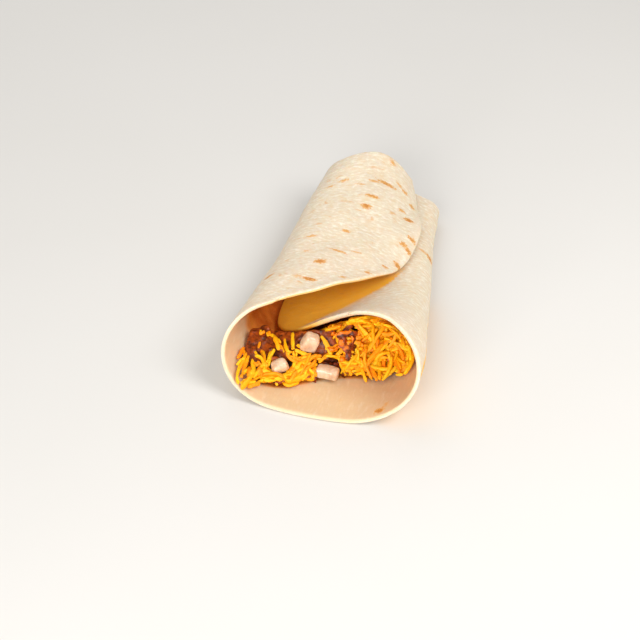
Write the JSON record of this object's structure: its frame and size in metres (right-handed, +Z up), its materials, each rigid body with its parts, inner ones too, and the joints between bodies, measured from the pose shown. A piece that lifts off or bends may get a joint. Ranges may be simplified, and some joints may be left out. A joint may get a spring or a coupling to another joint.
{
  "type": "bean burrito",
  "caption": "Flour tortilla rolled round refried beans, shredded cheese and diced onion, open and flared at the mouth and folded in at the far end.",
  "frame": {"origin": "under the middle of the roll, on the surface it lies on", "axes": "+Z up, the roll runs along Y with its open mouth towards -Y, +X to the right as seen from the mouth"},
  "size_m": [0.0954, 0.2032, 0.044],
  "materials": {
    "tortilla": "soft flour dough, pale cream with small toasted spots",
    "beans": "moist dark red-brown bean paste",
    "cheese": "soft yellow-orange shreds with a slight oily sheen",
    "onion": "moist translucent pale flesh"
  },
  "bodies": {
    "root": {"tortilla": "tortilla", "refried_beans": "beans", "shredded_cheese": "cheese", "onion_dice_1": "onion", "onion_dice_2": "onion", "onion_dice_3": "onion"}
  },
  "joints": []
}
